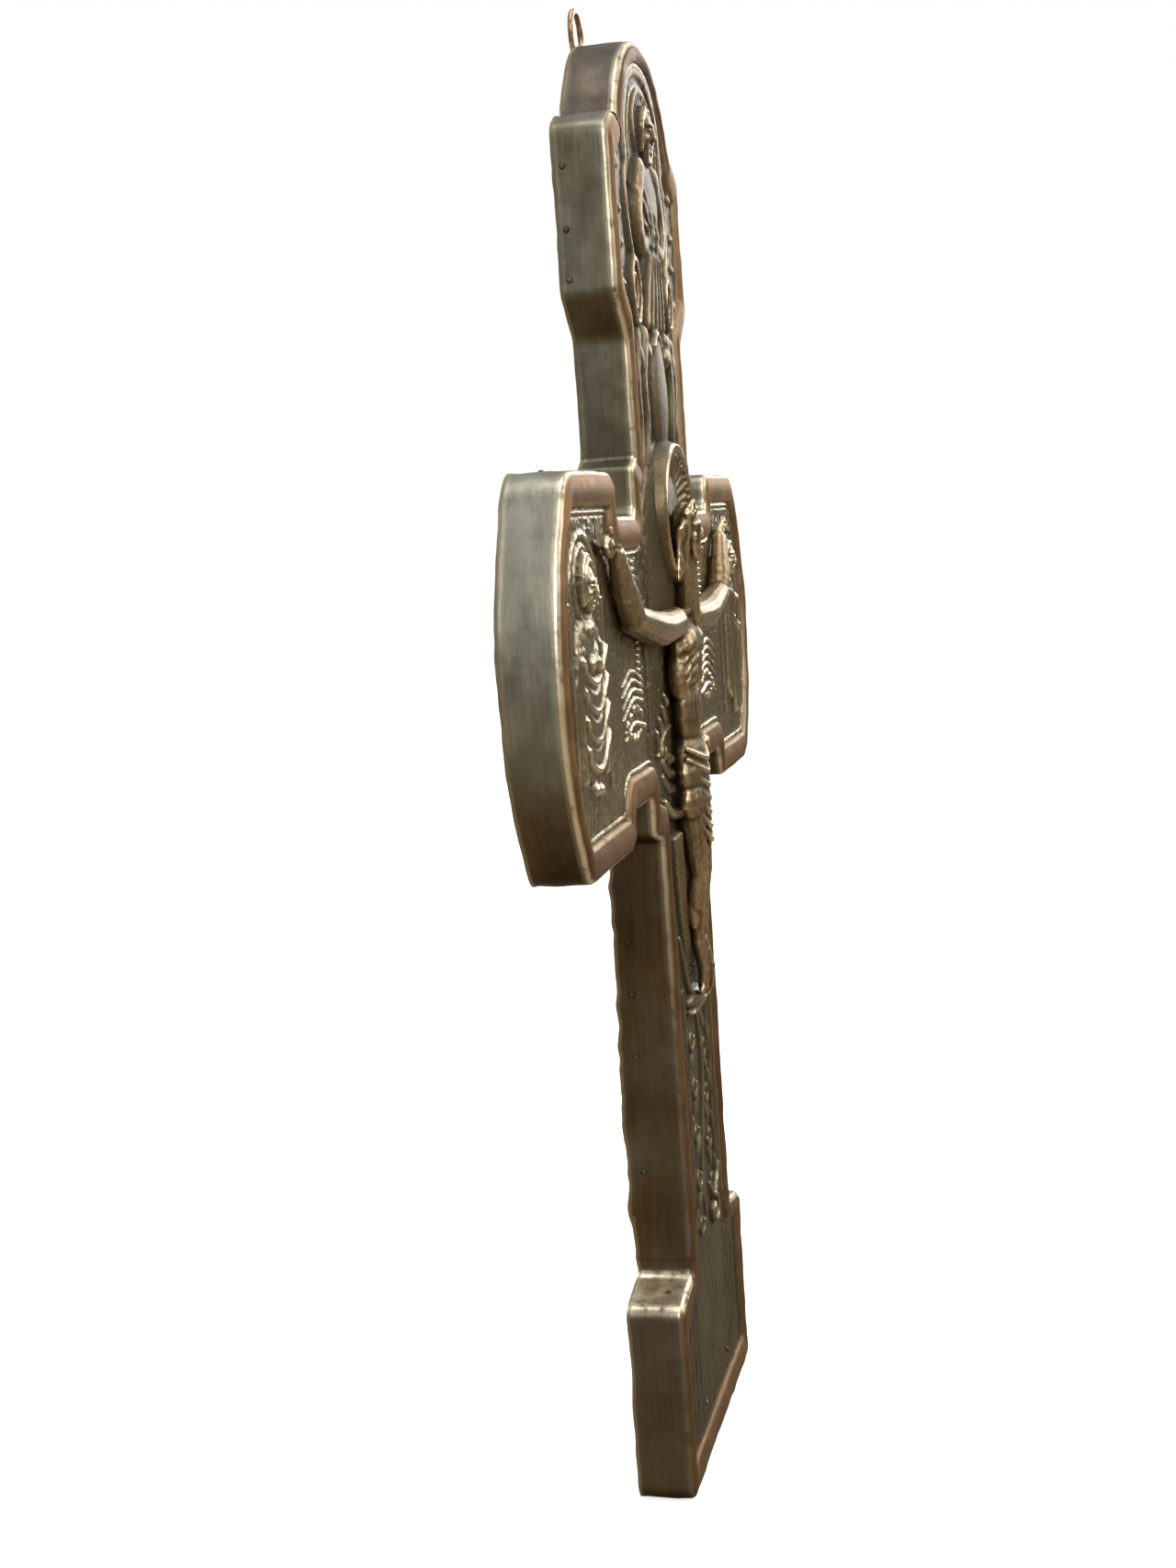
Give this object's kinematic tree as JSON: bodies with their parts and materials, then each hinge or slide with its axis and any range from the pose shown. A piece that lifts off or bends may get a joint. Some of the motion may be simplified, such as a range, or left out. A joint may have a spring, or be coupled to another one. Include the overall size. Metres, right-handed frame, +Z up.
{
  "type": "altar cross",
  "caption": "Altar cross: a lapped wooden core sheathed in embossed metal sheet, with an applied figure and halo, lobed ends, a block foot and a swinging hanging ring at the back.",
  "frame": {"origin": "middle of the foot's lower edge, at the front of the wooden core (x = 0, y = 0, z = 0 on the foot's bottom face)", "axes": "+Z up along the upright, +X to the right of someone facing the figure, -Y out of the figure's side, +Y out of the back"},
  "size_m": [0.432, 0.0481, 0.6574],
  "materials": {
    "wood": "bare sawn softwood, dry and slightly darkened",
    "side_sheet": "silvered copper sheet with a grey-green to brown patina, fine upright streaks",
    "embossed_sheet": "embossed silvered copper sheet, polished high points and dark hollows",
    "figure_metal": "embossed metal, copper showing on the high points",
    "nail_steel": "small plain nail heads, dulled",
    "hanger_brass": "worn brass"
  },
  "bodies": {
    "cross": {"arm_nail_left_top": "nail_steel", "arm_nail_left_under": "nail_steel", "arm_nail_right_top": "nail_steel", "arm_nail_right_under": "nail_steel", "core_crossbar": "wood", "core_upright": "wood", "corpus": "figure_metal", "corpus_nail_feet": "nail_steel", "corpus_nail_left_hand": "nail_steel", "corpus_nail_right_hand": "nail_steel", "foot_nail_left": "nail_steel", "foot_nail_right": "nail_steel", "halo": "figure_metal", "hanger_nail_1": "hanger_brass", "hanger_nail_2": "hanger_brass", "hanger_strap": "hanger_brass", "lap_pin_lower": "wood", "lap_pin_upper": "wood", "plate_arm_left": "embossed_sheet", "plate_arm_right": "embossed_sheet", "plate_crossing": "embossed_sheet", "plate_shaft": "embossed_sheet", "plate_top": "embossed_sheet", "side_nail_left_lower_1": "nail_steel", "side_nail_left_lower_2": "nail_steel", "side_nail_left_lower_3": "nail_steel", "side_nail_left_lower_4": "nail_steel", "side_nail_left_upper_1": "nail_steel", "side_nail_left_upper_2": "nail_steel", "side_nail_left_upper_3": "nail_steel", "side_nail_right_lower_1": "nail_steel", "side_nail_right_lower_2": "nail_steel", "side_nail_right_lower_3": "nail_steel", "side_nail_right_lower_4": "nail_steel", "side_nail_right_upper_1": "nail_steel", "side_nail_right_upper_2": "nail_steel", "side_nail_right_upper_3": "nail_steel", "strip_arm_left": "side_sheet", "strip_arm_right": "side_sheet", "strip_foot": "side_sheet", "strip_lobe": "side_sheet", "strip_shaft_left": "side_sheet", "strip_shaft_right": "side_sheet", "strip_upper_left": "side_sheet", "strip_upper_right": "side_sheet"},
    "ring": {"hanging_ring": "hanger_brass"}
  },
  "joints": [
    {"name": "ring_swing", "type": "hinge", "parent": "cross", "child": "ring", "pos_m": [0, 0.0242, 0.6362], "axis": [-1, 0, 0], "range_deg": [0, 178]}
  ]
}
